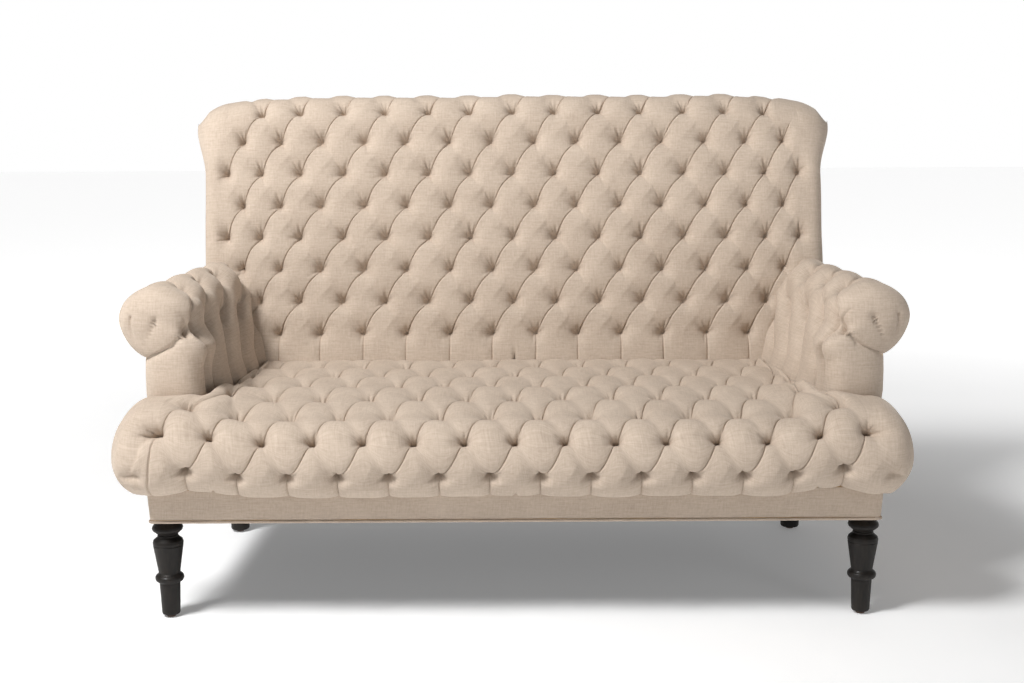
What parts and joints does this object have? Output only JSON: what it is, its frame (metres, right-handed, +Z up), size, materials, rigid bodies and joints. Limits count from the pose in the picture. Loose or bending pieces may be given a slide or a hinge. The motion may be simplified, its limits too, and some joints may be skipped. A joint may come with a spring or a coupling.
{
  "type": "settee",
  "caption": "Settee with a deep diamond-tufted seat that overhangs its front, tufted rolled arms, a tufted rolled back and dark turned legs.",
  "frame": {"origin": "on the floor, below the middle of the settee's whole width and depth", "axes": "+X to the right of someone facing the settee's front, +Y from the front to the rear, +Z up"},
  "size_m": [1.701, 0.879, 1.1143],
  "materials": {
    "linen": "natural slubby linen weave, matt",
    "welt": "linen-covered cord",
    "dark_wood": "espresso stain, satin lacquer",
    "raw_wood": "planed hardwood, unfinished",
    "plywood": "plywood, unfinished",
    "foam": "cut upholstery foam",
    "jute": "jute webbing and burlap",
    "dust_cloth": "black nonwoven cloth",
    "steel": "oiled spring steel",
    "glide": "brown moulded glide"
  },
  "bodies": {
    "root": {"front_rail": "raw_wood", "rear_rail": "raw_wood", "left_side_rail": "raw_wood", "right_side_rail": "raw_wood", "centre_rail": "raw_wood", "corner_blocks": "raw_wood", "seat_webbing_long": "jute", "seat_webbing_cross": "jute", "seat_springs": "steel", "seat_burlap": "jute", "seat_foam": "foam", "seat_tufted_pad": "linen", "front_border": "linen", "welt_cord": "welt", "dust_cover": "dust_cloth", "left_back_post": "raw_wood", "right_back_post": "raw_wood", "back_top_rail": "raw_wood", "back_tack_rail": "raw_wood", "back_slats": "raw_wood", "back_roll_core": "raw_wood", "back_burlap": "jute", "back_foam": "foam", "back_tufted_pad": "linen", "left_back_side": "linen", "right_back_side": "linen", "outside_back_panel": "linen", "left_arm_front_board": "plywood", "left_arm_rear_board": "plywood", "left_arm_roll_core": "raw_wood", "left_arm_top_rail": "raw_wood", "left_arm_inner_board": "plywood", "left_arm_tufted_pad": "linen", "left_arm_front_pad": "linen", "left_arm_outside_panel": "linen", "right_arm_front_board": "plywood", "right_arm_rear_board": "plywood", "right_arm_roll_core": "raw_wood", "right_arm_top_rail": "raw_wood", "right_arm_inner_board": "plywood", "right_arm_tufted_pad": "linen", "right_arm_front_pad": "linen", "right_arm_outside_panel": "linen", "left_front_leg": "dark_wood", "right_front_leg": "dark_wood", "left_rear_leg": "dark_wood", "right_rear_leg": "dark_wood", "hanger_bolts": "steel", "tee_nuts": "steel", "glides": "glide"}
  },
  "joints": []
}
